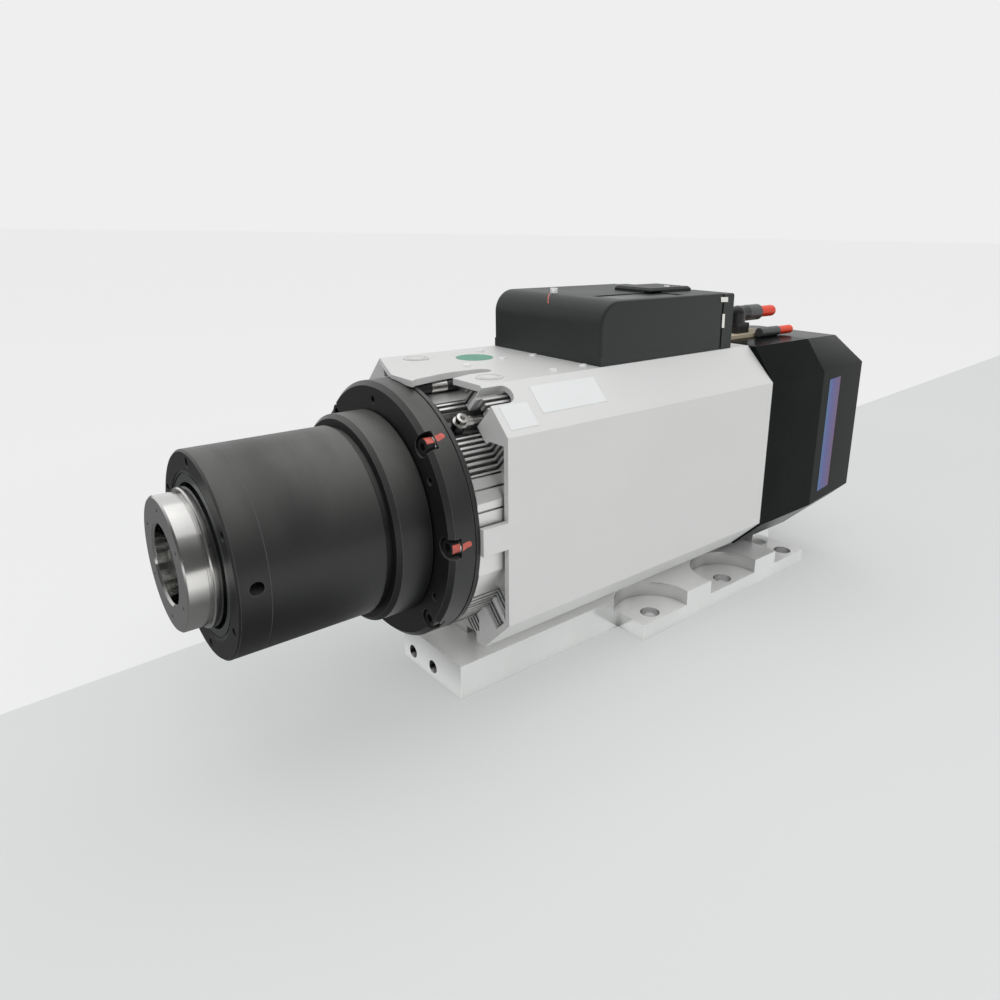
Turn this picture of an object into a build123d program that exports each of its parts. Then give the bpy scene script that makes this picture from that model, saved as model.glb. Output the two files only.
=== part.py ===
"""Air-cooled motor spindle with automatic tool clamping, on its mounting plate.

Every shape is drawn in spindle coordinates: X runs along the spindle axis from the
nose face backwards, Z is up from that axis. save() moves each piece to the part
frame, whose origin is the middle of the mounting plate's underside.
Lengths are millimetres.
"""

import os
from math import atan2, degrees, hypot

from build123d import *

# Clearances
RUN = 0.3

# Body across its flats, which the pieces round it follow
BODY_HALF = 73.5
BODY_CHAMFER = 22.5
BODY_WALL = 3.4

# Nose and shaft
NOSE_R = 32.0
NOSE_L = 9.4
GROOVE_R = 30.6
GROOVE_L = 1.2
LIP_R = 33.6
LIP_END = 14.2
COLLAR_R = 32.4
COLLAR_END = 27.0
TAPER_MOUTH_R = 20.0
TAPER_R = 19.0
TAPER_END_R = 18.2
TAPER_L = 18.0
CAVITY_R = 20.5
CAVITY_END = 46.0
BARREL_BORE_R = 14.5
DRAW_BORE_R = 10.5
FRONT_JOURNAL_R = 30.0
ROTOR_SEAT_R = 27.0
REAR_JOURNAL_R = 20.0
SHAFT_END = 352.0

# Front housing
COVER_X = 14.7
COVER_END = 29.0
HOUSING_R = 50.6
HOUSING_END = 85.0
NECK_R = 49.0
SEAL_R = 41.0
SEAL_BORE_R = 35.2
COVER_SCREW_R = 45.6
COVER_SCREW_COUNT = 6
COVER_SCREW_HEAD_R = 2.2
COVER_SCREW_SHANK_R = 1.2
SIDE_HOLE_R = 3.3
SIDE_HOLE_X = 23.0
RING_X = 87.8
RING_R = 55.9
FLANGE_X = 107.6
FLANGE_END = 124.4
FLANGE_R = BODY_HALF - 2.5
FLANGE_CHAMFER = 2.4
FLANGE_FACE_HOLE_R = FLANGE_R - 9.2
RIM_SCREW_PITCH_R = FLANGE_R - 5.4
RIM_SCREW_ANGLES = (0, 45, 135, 180, 225, 315)
RIM_NOTCH_R = 5.2
RIM_NOTCH_END = 113.5
RIM_SCREW_HEAD_R = 4.2
RIM_SCREW_R = 2.5

# Bearings
BEARING_OUTER_R = 43.0
BEARING_RACE_R = 39.6
BEARING_INNER_R = 33.6
BEARING_W = 15.0
BALL_R = 2.6
BALL_COUNT = 16
FRONT_BEARINGS_X = (32.0, 51.0)
REAR_BEARING_X = 328.0
REAR_OUTER_R = 31.0
REAR_RACE_R = 28.4
REAR_INNER_R = 23.0
REAR_BALL_R = 2.3
REAR_BALL_COUNT = 12
REAR_BEARING_W = 13.0

# Body shell, an octagonal extrusion open at both ends
BODY_X = 139.8
BODY_END = 365.0
SIDE_TAB_HALF = 7.2
TOP_TAB_X = 119.5
TOP_TAB_FAR_Y = 0.8
TOP_TAB_NEAR_Y = -20.8
TOP_TAB_NOSE_XY = (122.4, -18.2)
TAB_WAIST_XY = (140.7, -13.2)
SLOT_CREST_XY = (149.0, -12.1)
SLOT_NEAR_Y = -27.2
SLOT_BEND_XY = (153.0, -22.8)
SLOT_END_XY = (164.2, -18.4)
SLOT_END_R = 5.1
CORNER_SLOT_R = 5.3
CORNER_SLOT_END = 156.3
CORNER_SLOT_SHIFT = 8.8
RIB_DEPTH = 17.6
CHANNEL = (2.8, 12.6)
THICK_RIB_W = 8.2
THIN_RIB_W = 2.2
FOOT_WALL_Y = BODY_HALF - 29.8
FOOT_STEP = -2.5
FOOT_WALL_T = 7.6
RAIL_Y = (13.6, 22.8)
RAIL_X = 160.0
INLET_YZ = (28.3 - BODY_HALF, BODY_HALF - 19.1)
INLET_X = (131.0, 145.5)
INLET_PIPE_R = 2.3
INLET_POCKET_R = 7.8
COLLET_R = 3.5
COLLET_L = 7.0
SENSOR_X = (125.0, 152.5)
SENSOR_YZ = (-10.0, BODY_HALF - 7.1)
SENSOR_R = 3.4
SENSOR_SEAT_Y = (-36.0, -2.0)
BAND_X = (135.8, 145.5)

# Stator and its finned jacket
JACKET_TURNED_R = FLANGE_R + 0.5
JACKET_TURNED_END = 141.0
JACKET_BORE_R = 52.0
FIN_ROOT_R = BODY_HALF - 12.5
FIN_W = 1.3
FIN_PITCH = 3.0
FINS_EACH_CORNER = 15
FIN_GAP = 1.2
SIDE_GROOVES = (12.0, 21.0, 26.0, 30.0, 35.0)
STATOR_X = (155.0, 305.0)
STATOR_BORE_R = 36.4
ROTOR_R = 35.8
WINDING_L = 13.0
REAR_SHIELD_X = 322.0
SHIELD_R = BODY_HALF - 9.5
SHIELD_BORE_R = 24.0

# Mounting plate
PLATE_X = (136.0, 460.0)
PLATE_TOP = -BODY_HALF - 20.5
PLATE_T = 22.0
PLATE_NARROW = 32.0
PLATE_WIDE = 56.4
PLATE_STEP_X = 266.6
PLATE_LEDGE_X = 418.8
POCKET_FLOOR = PLATE_TOP - 10.5
POCKET_R = 28.0
POCKET_Y = 50.0
PLATE_HOLE_X = (283.0, 364.5, 446.0)
PLATE_HOLE_Y = 46.0
PLATE_HOLE_R = 6.75
END_HOLE_Y = (-1.6, 21.4)
END_HOLE_Z = 7.3
END_HOLE_R = 4.25
END_HOLE_DEPTH = 18.0
FOOT_END = 441.5
FOOT_HALF = 34.4
PEDESTAL_X = (160.5, 190.0)
PEDESTAL_Y = (-3.0, 12.0)
PLATE_SCREW_X = (200.0, 330.0)
PLATE_SCREW_R = 2.4

# Rear cover and fan
COVER_FOLD_X = 431.5
COVER_REAR_X = 508.0
COVER_WALL = 2.6
COVER_TOP_CHAMFER = 16.5
COVER_LOW_CHAMFER = 20.5
REAR_HALF = BODY_HALF - 10.5
REAR_TOP = BODY_HALF - 5.5
REAR_TOP_CHAMFER_Y = 26.0
REAR_TOP_CHAMFER_Z = 18.5
REAR_LOW_CHAMFER = 13.5
CYLINDER_R = 50.0
CYLINDER_X = (365.0, 412.0)
PISTON_R = 38.0
PISTON_X = (378.0, 390.0)
PISTON_ROD_R = 8.0
STROKE = 6.0
FAN_MOTOR_R = 26.0
FAN_MOTOR_X = (414.0, 440.0)
FAN_SHAFT_R = 4.0
FAN_X = (444.0, 466.0)
FAN_HUB_R = 24.0
GUARD_R = REAR_HALF - 5.0
FAN_TIP_R = GUARD_R - 2.0
FAN_BLADES = 7
BLADE_L = 24.0

# Connector box on top
BOX_X = (224.0, 346.0)
BOX_HALF = BODY_HALF - BODY_CHAMFER - 0.8
BOX_TOP = BODY_HALF + 36.5
BOX_BASE_TOP = BODY_HALF + 5.5
BOX_FRONT_FILLET = 14.0
BOX_EDGE_FILLET = 1.5
BOX_WALL = 3.0
CAP_X = 333.5
CAP_GAP = 1.8
BOX_SCREW_XY = (240.5, 10.0)
BOX_SCREW_HEAD_R = 2.4
BOX_SCREW_SINK = 0.6
BOX_SCREW_PROUD = 3.0
BOX_LABEL_X = (246.0, 303.0)
BOX_LABEL_Y = (7.2 - BOX_HALF, 31.2 - BOX_HALF)
BOX_PAD_X = (292.0, 333.0)
BOX_PAD_Y = (-23.8, 7.5)
BOX_PAD_T = 3.0
BOX_PAD_BEVEL = 1.4
PAD_SCREW_X = (312.3, 327.3)
PAD_SCREW_Y = -20.2

# Plain stickers
STICKER_T = 0.15
ROUND_STICKER_XY = (186.0, 19.6)
ROUND_STICKER_R = 11.2
CHAMFER_LABELS = ((144.0, 162.0, -2.5, 12.0), (168.0, 214.0, -11.0, 6.0))
BADGE_X = (444.0, 465.0)
BADGE_Z = (-45.0, 43.5)

# Small parts on top
PLUG_R = 7.5
PLUG_X = 156.0
PLUG_Y = BODY_HALF - BODY_CHAMFER - 14.5
TOP_SCREW_XY = ((166.0, -1.8), (202.0, 36.0), (196.0, 5.5), (219.0, 4.4), (196.0, -41.4), (219.0, -41.0))
TOP_SCREW_R = 2.2
ELBOW_XYZ = (399.0, -16.0, BODY_HALF + 16.5)
ELBOW_R = 6.0
ELBOW_STEM_R = 3.9
FITTING_R = 5.9
FITTING_L = 16.0
STOPPER_R = 4.2
STOPPER_L = 22.0
LOW_FITTING_XY = (405.0, -32.0)
LOW_FITTING_R = 3.6
LOW_FITTING_L = 24.0
LOW_STOPPER_R = 3.2
LOW_STOPPER_L = 19.0
SMALL_STOPPER_XY = (422.0, 8.0)
GASKET_X = (372.0, 430.0)
GASKET_HALF = 27.0
GASKET_T = 2.6

AXIS_H = PLATE_T - PLATE_TOP
PLATE_MID_X = sum(PLATE_X) / 2


def save(name, shape):
    moved = Pos(-PLATE_MID_X, 0, AXIS_H) * shape
    export_step(moved, f"parts/{name}.step")


def rod(x0, x1, r, y=0.0, z=0.0):
    """A cylinder along X."""
    return Pos((x0 + x1) / 2, y, z) * Rot(0, 90, 0) * Cylinder(r, x1 - x0)


def tube(x0, x1, outer, inner, y=0.0, z=0.0):
    return rod(x0, x1, outer, y, z) - rod(x0 - 1, x1 + 1, inner, y, z)


def pin(z0, z1, r, x, y):
    """A cylinder along Z."""
    return Pos(x, y, (z0 + z1) / 2) * Cylinder(r, z1 - z0)


def slab(x0, x1, y0, y1, z0, z1):
    return Pos((x0 + x1) / 2, (y0 + y1) / 2, (z0 + z1) / 2) * Box(x1 - x0, y1 - y0, z1 - z0)


def around(shape, angles):
    """Copies of a shape turned about the spindle axis."""
    return [Rot(a, 0, 0) * shape for a in angles]


def spun(points):
    """A solid of revolution about X from (x, r) points."""
    face = make_face(Polyline(*[(x, 0, r) for x, r in points], close=True))
    return revolve(face, Axis.X)


def outline(x, points):
    """A flat face across X through (y, z) points."""
    return make_face(Polyline(*[(x, y, z) for y, z in points], close=True))


def octagon(half, top_y, side_z, low_z, low_y):
    """Points of a chamfered square, right side first."""
    right = [(top_y, half), (half, side_z), (half, low_z), (low_y, -half)]
    left = [(-y, z) for y, z in reversed(right)]
    return right + left


def body_points(inset=0.0):
    half = BODY_HALF - inset
    corner = BODY_HALF - BODY_CHAMFER - inset * 0.414
    return octagon(half, corner, corner, -corner, corner)


def across(x0, x1, section):
    """Extrude along X a section drawn with Y to the right and Z up."""
    return Plane(origin=(x0, 0, 0), x_dir=(0, 1, 0), z_dir=(1, 0, 0)).location * extrude(section, x1 - x0)


def corner_point(out, along):
    """A point of the corner at -Y and -Z: out from the axis, and along towards the side."""
    return (-(out + along) * 0.7071068, (along - out) * 0.7071068)


def corner_ribs(grow=0.0):
    """The thick and the thin rib inside one corner of the shell, with a channel between."""
    inner = BODY_HALF - BODY_WALL
    wall = (2 * BODY_HALF - BODY_CHAMFER) * 0.7071068 - BODY_WALL / 2
    tip = wall + BODY_WALL / 2 - RIB_DEPTH - grow
    low, high = CHANNEL[0] + grow, CHANNEL[1] - grow
    side = FOOT_WALL_Y - FOOT_STEP - grow
    thick = [corner_point(wall, low), corner_point(tip, low), corner_point(tip, -THICK_RIB_W),
             (-side, 15.5 - BODY_HALF + grow), (-side, -inner - 1), (-BODY_HALF + BODY_CHAMFER - 1, -inner - 1)]
    thin = [corner_point(wall, high), corner_point(tip, high), corner_point(tip, high + THIN_RIB_W + 2 * grow),
            corner_point(wall, high + THIN_RIB_W + 2 * grow)]
    return [make_face(Polyline(*points, close=True)) for points in (thick, thin)]


def rib_set(grow=0.0):
    ribs = Sketch()
    for a in range(0, 360, 90):
        for face in corner_ribs(grow):
            ribs += Rot(0, 0, a) * face
    return ribs


def prism(x0, x1, points):
    return extrude(outline(x0, points), x1 - x0, dir=(1, 0, 0))


def screw(x0, head_r, head_l, shank_r, shank_l, socket_r):
    """A socket screw along X, its head at x0 and its shank behind."""
    body = rod(x0, x0 + head_l, head_r) + rod(x0 + head_l, x0 + head_l + shank_l, shank_r)
    socket = Pos(x0 + head_l * 0.3, 0, 0) * Rot(0, 90, 0) * extrude(
        RegularPolygon(socket_r, 6), head_l * 0.6, both=True)
    return body - socket


def screw_down(x, y, z_top, head_r, head_l, shank_r, shank_l, socket_r):
    """A socket screw along Z with the top of its head at z_top."""
    head = pin(z_top - head_l, z_top, head_r, x, y)
    shank = pin(z_top - head_l - shank_l, z_top - head_l, shank_r, x, y)
    socket = Pos(x, y, z_top - head_l * 0.5) * extrude(RegularPolygon(socket_r, 6), head_l)
    return head + shank - socket


# Rotating shaft with the tool seat
def spindle_shaft():
    groove_end = NOSE_L + GROOVE_L
    points = [
        (0, TAPER_MOUTH_R), (0, NOSE_R - 0.8), (0.8, NOSE_R), (NOSE_L, NOSE_R),
        (NOSE_L, GROOVE_R), (groove_end, GROOVE_R), (groove_end, LIP_R - 0.6),
        (groove_end + 0.6, LIP_R), (LIP_END, LIP_R), (LIP_END, COLLAR_R), (COLLAR_END, COLLAR_R),
        (COLLAR_END, FRONT_JOURNAL_R), (100, FRONT_JOURNAL_R), (100, ROTOR_SEAT_R),
        (318, ROTOR_SEAT_R), (318, REAR_JOURNAL_R), (SHAFT_END, REAR_JOURNAL_R),
        (SHAFT_END, DRAW_BORE_R), (310, DRAW_BORE_R), (310, BARREL_BORE_R),
        (120, BARREL_BORE_R), (120, DRAW_BORE_R), (58, DRAW_BORE_R), (CAVITY_END, 16),
        (CAVITY_END - 1, CAVITY_R - 2), (CAVITY_END - 6, CAVITY_R), (26, CAVITY_R),
        (22, TAPER_END_R), (TAPER_L, TAPER_END_R), (1.0, TAPER_R),
    ]
    body = spun(points)
    for hole in around(rod(-1, 5, 1.1, 0, 26.0), range(0, 360, 60)):
        body -= hole
    return body


def gripper():
    """Clamp fingers standing round the drawbar cone."""
    ring = spun([(12, 10.2), (12, 13.6), (18, 16.0), (24, 15.0), (40, 15.0), (44, 13.6), (44, 8.4),
                 (38, 8.4), (36, 10.2)])
    cuts = [Rot(a, 0, 0) * slab(10, 37, -0.9, 0.9, 0, 20) for a in range(0, 360, 60)]
    for cut in cuts:
        ring -= cut
    return ring


def drawbar():
    points = [
        (8, 0), (8, 5.5), (10, 7.5), (26, 9.6), (30, 8.4), (44, 8.4), (48, 9.8),
        (348, 9.8), (350, 8), (350, 0),
    ]
    tip = Pos(9, 0, 0) * Rot(0, 90, 0) * extrude(RegularPolygon(3.2, 6), 3, both=True)
    return spun(points) - tip


def disc_springs():
    """Stack of conical spring washers round the drawbar."""
    washers = []
    pitch = 4.4
    count = 41
    for i in range(count):
        x = 123.0 + i * pitch
        lean = 1.6 if i % 2 == 0 else -1.6
        x0 = x if lean > 0 else x + 1.6
        washers.append(spun([(x0, 10.4), (x0 + 1.4, 10.4), (x0 + 1.4 + lean, 14.0), (x0 + lean, 14.0)]))
    return Compound(children=washers)


def rotor_core():
    return tube(STATOR_X[0], STATOR_X[1], ROTOR_R, ROTOR_SEAT_R)


# Bearings
def ring_set(starts, width, outer, inner):
    return Compound(children=[tube(x, x + width, outer, inner) for x in starts])


def ball_set(starts, width, pitch_r, ball_r, count):
    step = 360 / count
    balls = []
    for x in starts:
        ball = Pos(x + width / 2, 0, pitch_r) * Sphere(ball_r)
        cage = tube(x + width / 2 - ball_r - 0.5, x + width / 2 + ball_r + 0.5,
                    pitch_r + ball_r * 0.35, pitch_r - ball_r * 0.35)
        for turned in around(ball, [i * step for i in range(count)]):
            cage += turned
        balls.append(cage)
    return Compound(children=balls)


# Front housing group
def front_cover():
    body = tube(COVER_X, COVER_END, HOUSING_R, SEAL_R)
    body = chamfer(body.edges().filter_by(GeomType.CIRCLE).group_by(Axis.X)[0].sort_by(SortBy.RADIUS)[-1], 1.0)
    seat = rod(COVER_X - 1, COVER_X + 5.6, COVER_SCREW_HEAD_R + 0.2, 0, COVER_SCREW_R)
    shank = rod(COVER_X, COVER_END + 1, COVER_SCREW_SHANK_R, 0, COVER_SCREW_R)
    step = 360 / COVER_SCREW_COUNT
    for cut in around(seat + shank, [i * step for i in range(COVER_SCREW_COUNT)]):
        body -= cut
    side = Pos(SIDE_HOLE_X, -HOUSING_R + 3, 0) * Rot(90, 0, 0) * Cylinder(SIDE_HOLE_R, 12)
    return body - side


def cover_screws():
    one = Pos(0, 0, COVER_SCREW_R) * screw(COVER_X + 2.4, COVER_SCREW_HEAD_R, 3.2, COVER_SCREW_SHANK_R, 14.0, 1.1)
    step = 360 / COVER_SCREW_COUNT
    return Compound(children=around(one, [i * step for i in range(COVER_SCREW_COUNT)]))


def seal_ring():
    body = tube(COVER_X + 0.5, COVER_END - 2, SEAL_R, SEAL_BORE_R)
    return body - tube(COVER_X, COVER_X + 1.2, SEAL_R - 1.2, SEAL_R - 2.2)


def front_housing():
    points = [
        (COVER_END, BEARING_OUTER_R), (COVER_END, HOUSING_R), (HOUSING_END - 0.8, HOUSING_R),
        (HOUSING_END, HOUSING_R - 0.8), (HOUSING_END, NECK_R), (FLANGE_X, NECK_R),
        (FLANGE_X, FLANGE_R - FLANGE_CHAMFER), (FLANGE_X + FLANGE_CHAMFER, FLANGE_R),
        (FLANGE_END - 3.2, FLANGE_R), (FLANGE_END - 3.2, FLANGE_R - 0.8),
        (FLANGE_END - 2.2, FLANGE_R - 0.8), (FLANGE_END - 2.2, FLANGE_R),
        (FLANGE_END, FLANGE_R), (FLANGE_END, 40), (90, 40), (90, FRONT_JOURNAL_R + 1),
        (72, FRONT_JOURNAL_R + 1), (72, BEARING_OUTER_R),
    ]
    body = spun(points)
    notch = rod(FLANGE_X - 1, RIM_NOTCH_END, RIM_NOTCH_R, 0, RIM_SCREW_PITCH_R)
    notch += slab(FLANGE_X - 1, RIM_NOTCH_END, -RIM_NOTCH_R, RIM_NOTCH_R, RIM_SCREW_PITCH_R, FLANGE_R + 2)
    notch += rod(RIM_NOTCH_END - 1, FLANGE_END + 1, RIM_SCREW_R, 0, RIM_SCREW_PITCH_R)
    for cut in around(notch, [a - 90 for a in RIM_SCREW_ANGLES]):
        body -= cut
    tapped = rod(FLANGE_X - 1, FLANGE_X + 9, 2.1, 0, FLANGE_FACE_HOLE_R)
    for cut in around(tapped, range(0, 360, 60)):
        body -= cut
    blind = rod(COVER_END - 1, COVER_END + 6, COVER_SCREW_SHANK_R, 0, COVER_SCREW_R)
    step = 360 / COVER_SCREW_COUNT
    for cut in around(blind, [i * step for i in range(COVER_SCREW_COUNT)]):
        body -= cut
    return body


def spacer_ring():
    points = [
        (RING_X, NECK_R), (RING_X, RING_R - 2.2), (RING_X + 2.2, RING_R),
        (FLANGE_X - 1.2, RING_R), (FLANGE_X, RING_R - 1.2), (FLANGE_X, NECK_R),
    ]
    return spun(points)


def rim_screws():
    head_l = 5.0
    one = Pos(0, 0, RIM_SCREW_PITCH_R) * screw(
        RIM_NOTCH_END - head_l, RIM_SCREW_HEAD_R, head_l, RIM_SCREW_R, 21.0, 2.4)
    return Compound(children=around(one, [a - 90 for a in RIM_SCREW_ANGLES]))


# Stator group
def fin_gaps():
    """Gaps between the cooling fins of one corner, drawn at the top."""
    gaps = Sketch()
    for i in range(FINS_EACH_CORNER):
        offset = (i - (FINS_EACH_CORNER - 1) / 2) * FIN_PITCH
        foot = (FIN_ROOT_R ** 2 - offset ** 2) ** 0.5
        gaps += Pos(offset, (foot + 100) / 2) * Rectangle(FIN_PITCH - FIN_W, 100 - foot)
    return gaps


def stator_jacket():
    """Extruded jacket with fins in its corners, its front turned down to a circle."""
    section = make_face(Polyline(*body_points(BODY_WALL + FIN_GAP), close=True)) - Circle(JACKET_BORE_R)
    for a in (45, 135, 225, 315):
        section -= Rot(0, 0, a) * fin_gaps()
    section -= rib_set(RUN)
    body = across(FLANGE_END, REAR_SHIELD_X, section)
    body -= tube(FLANGE_END - 1, JACKET_TURNED_END, 100, JACKET_TURNED_R)
    for side in (-1, 1):
        for a in SIDE_GROOVES:
            groove = slab(FLANGE_END - 1, JACKET_TURNED_END + 8, -0.5, 0.5, JACKET_TURNED_R - 3.7, BODY_HALF)
            body -= Rot(side * (90 - a), 0, 0) * groove
    body -= rod(FLANGE_END - 1, CORNER_SLOT_END + 1, INLET_POCKET_R, *INLET_YZ)
    for side in (-1, 1):
        y0, y1 = sorted((side * (FOOT_WALL_Y - RUN), side * BODY_HALF))
        body -= slab(BODY_X - RUN, RAIL_X + RUN, y0, y1, -BODY_HALF, -BODY_HALF + FOOT_WALL_T + RUN)
    seat_z = SENSOR_YZ[1] - SENSOR_R - 0.4
    body -= slab(FLANGE_END - 1, SENSOR_X[1] + 1, *SENSOR_SEAT_Y, seat_z, BODY_HALF)
    for cut in around(rod(FLANGE_END - 1, FLANGE_END + 13, RIM_SCREW_R, 0, RIM_SCREW_PITCH_R),
                      [a - 90 for a in RIM_SCREW_ANGLES]):
        body -= cut
    return body


def stator_core():
    return tube(STATOR_X[0], STATOR_X[1], JACKET_BORE_R, STATOR_BORE_R)


def windings():
    front = tube(STATOR_X[0] - WINDING_L, STATOR_X[0], JACKET_BORE_R - 2, STATOR_BORE_R + 2)
    rear = tube(STATOR_X[1], STATOR_X[1] + WINDING_L, JACKET_BORE_R - 2, STATOR_BORE_R + 2)
    pair = []
    for ring in (front, rear):
        edges = ring.edges().filter_by(GeomType.CIRCLE)
        pair.append(fillet(edges, 2.5))
    return Compound(children=pair)


def rear_shield():
    """Rear bearing carrier closing the jacket."""
    seat_end = REAR_BEARING_X + REAR_BEARING_W + 5
    points = [
        (REAR_SHIELD_X, REAR_JOURNAL_R + 2), (REAR_SHIELD_X, SHIELD_R), (BODY_END, SHIELD_R),
        (BODY_END, SHIELD_BORE_R), (seat_end, SHIELD_BORE_R), (seat_end, REAR_OUTER_R),
        (REAR_BEARING_X - 2, REAR_OUTER_R),
        (REAR_BEARING_X - 2, REAR_JOURNAL_R + 2),
    ]
    return spun(points)


# Body shell
def sheet(points, over):
    """An outline in the shell's flat top wall, or through it by the given excess."""
    low = BODY_HALF - BODY_WALL - over
    face = make_face(Polyline(*[(x, y, low) for x, y in points], close=True))
    return extrude(face, BODY_WALL + 2 * over, dir=(0, 0, 1))


def body_shell():
    body = prism(BODY_X, BODY_END, body_points()) - prism(BODY_X - 1, BODY_END + 1, body_points(BODY_WALL))
    body += across(BODY_X, BODY_END, rib_set())
    tab = sheet([(TOP_TAB_X, TOP_TAB_NEAR_Y), TOP_TAB_NOSE_XY, TAB_WAIST_XY,
                 (BODY_X + 1, BODY_HALF - BODY_CHAMFER), (BODY_X, BODY_HALF - BODY_CHAMFER),
                 (TOP_TAB_X, TOP_TAB_FAR_Y)], 0)
    body += tab - rod(TOP_TAB_X - 1, FLANGE_END + 0.5, FLANGE_R + RUN)
    for side in (-1, 1):
        tab_y = sorted((side * BODY_HALF, side * (BODY_HALF - BODY_WALL)))
        body += slab(FLANGE_END, BODY_X, *tab_y, -SIDE_TAB_HALF, SIDE_TAB_HALF)
    x, y = SLOT_END_XY
    body -= sheet([(BODY_X - 1, SLOT_NEAR_Y), SLOT_BEND_XY, (x, y - SLOT_END_R), (x, y + SLOT_END_R),
                   SLOT_CREST_XY, TAB_WAIST_XY, (BODY_X - 1, TAB_WAIST_XY[1] - 0.3)], 1)
    body -= pin(BODY_HALF - 6, BODY_HALF + 1, SLOT_END_R, x, y)
    body -= slab(BODY_X - 1, RAIL_X, -FOOT_WALL_Y, FOOT_WALL_Y, -BODY_HALF - 1, -BODY_HALF + BODY_WALL + 0.5)
    body -= slab(BODY_X - 1, PEDESTAL_X[1] + 1, PEDESTAL_Y[0] - 1, PEDESTAL_Y[1] + 1,
                 -BODY_HALF - 1, -BODY_HALF + BODY_WALL + 0.5)
    for y in (-FOOT_WALL_Y, FOOT_WALL_Y):
        y0, y1 = sorted((y, y * (BODY_HALF - BODY_CHAMFER) / FOOT_WALL_Y))
        body += slab(BODY_X, RAIL_X, y0, y1, -BODY_HALF, -BODY_HALF + FOOT_WALL_T)
    reach = (2 * BODY_HALF - BODY_CHAMFER) * 0.7071068
    slot = slab(BODY_X - 1, CORNER_SLOT_END - CORNER_SLOT_R, -CORNER_SLOT_R, CORNER_SLOT_R, reach - 8, reach + 4)
    slot += pin(reach - 8, reach + 4, CORNER_SLOT_R, CORNER_SLOT_END - CORNER_SLOT_R, 0)
    body -= Rot(45, 0, 0) * Pos(0, CORNER_SLOT_SHIFT, 0) * slot
    for side in (-1, 1):
        y0, y1 = sorted((side * RAIL_Y[0], side * RAIL_Y[1]))
        body += slab(RAIL_X, BODY_END - 2, y0, y1, PLATE_TOP, -BODY_HALF + 1)
    for x, y in plate_screw_spots():
        body -= pin(PLATE_TOP - 1, PLATE_TOP + 8, PLATE_SCREW_R, x, y)
    for x, y in ((PLUG_X, PLUG_Y), (PLUG_X, -PLUG_Y)):
        body -= pin(BODY_HALF - 6, BODY_HALF + 1, PLUG_R - 1.2, x, y)
    for x, y in TOP_SCREW_XY:
        body -= pin(BODY_HALF - 6, BODY_HALF + 1, TOP_SCREW_R * 0.6, x, y)
    return body


def top_plugs():
    plugs = []
    for x, y in ((PLUG_X, PLUG_Y), (PLUG_X, -PLUG_Y)):
        plug = pin(BODY_HALF, BODY_HALF + 0.5, PLUG_R, x, y) + pin(BODY_HALF - 3, BODY_HALF, PLUG_R - 1.2, x, y)
        plug -= pin(BODY_HALF + 0.2, BODY_HALF + 1, PLUG_R - 1.2, x, y) - pin(
            BODY_HALF, BODY_HALF + 2, PLUG_R - 2.6, x, y)
        plugs.append(plug)
    return Compound(children=plugs)


def top_screws():
    return Compound(children=[
        screw_down(x, y, BODY_HALF + 1.0, TOP_SCREW_R, 1.0, TOP_SCREW_R * 0.6, BODY_WALL, 1.1)
        for x, y in TOP_SCREW_XY])


# Mounting plate
def plate_screw_spots():
    rail = sum(RAIL_Y) / 2
    return [(x, side * rail) for x in PLATE_SCREW_X for side in (-1, 1)]


def mounting_plate():
    low = PLATE_TOP - PLATE_T
    body = slab(PLATE_X[0], PLATE_X[1], -PLATE_NARROW, PLATE_NARROW, low, PLATE_TOP)
    body += slab(PLATE_STEP_X, PLATE_X[1], -PLATE_WIDE, PLATE_WIDE, low, PLATE_TOP)
    body -= slab(PLATE_LEDGE_X, PLATE_X[1] + 1, -PLATE_WIDE - 1, PLATE_WIDE + 1, POCKET_FLOOR, PLATE_TOP + 1)
    for x in PLATE_HOLE_X:
        for side in (-1, 1):
            if x < PLATE_LEDGE_X:
                body -= pin(POCKET_FLOOR, PLATE_TOP + 1, POCKET_R, x, side * POCKET_Y)
            body -= pin(low - 1, POCKET_FLOOR + 1, PLATE_HOLE_R, x, side * PLATE_HOLE_Y)
    z = PLATE_TOP - PLATE_T + END_HOLE_Z
    for y in END_HOLE_Y:
        body -= rod(PLATE_X[0] - 1, PLATE_X[0] + END_HOLE_DEPTH, END_HOLE_R, y, z)
    for x, y in plate_screw_spots():
        body -= pin(low - 1, PLATE_TOP + 1, PLATE_SCREW_R + 0.2, x, y)
        body -= pin(low - 1, low + 6, 5.0, x, y)
    return body


def plate_screws():
    """Screws up through the plate into the shell's rails."""
    low = PLATE_TOP - PLATE_T
    screws = []
    for x, y in plate_screw_spots():
        one = pin(low + 1.0, low + 6.0, 4.4, x, y) + pin(low + 6.0, PLATE_TOP + 8, PLATE_SCREW_R, x, y)
        one -= Pos(x, y, low) * extrude(RegularPolygon(2.4, 6), 4)
        screws.append(one)
    return Compound(children=screws)


def rear_foot():
    """Block on the plate's rear ledge, under the rear cover."""
    return slab(PLATE_LEDGE_X, FOOT_END, -FOOT_HALF, FOOT_HALF, POCKET_FLOOR, -BODY_HALF)


def front_pedestal():
    """Post between the plate and the flat underside of the jacket."""
    return slab(*PEDESTAL_X, *PEDESTAL_Y, PLATE_TOP, -BODY_HALF + BODY_WALL + FIN_GAP)


# Rear cover, air cylinder and fan
def fold_points(inset=0.0):
    half = BODY_HALF - inset
    return octagon(half, half - COVER_TOP_CHAMFER, BODY_HALF - BODY_CHAMFER - inset * 0.4,
                   -(half - COVER_LOW_CHAMFER), half - COVER_LOW_CHAMFER)


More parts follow.
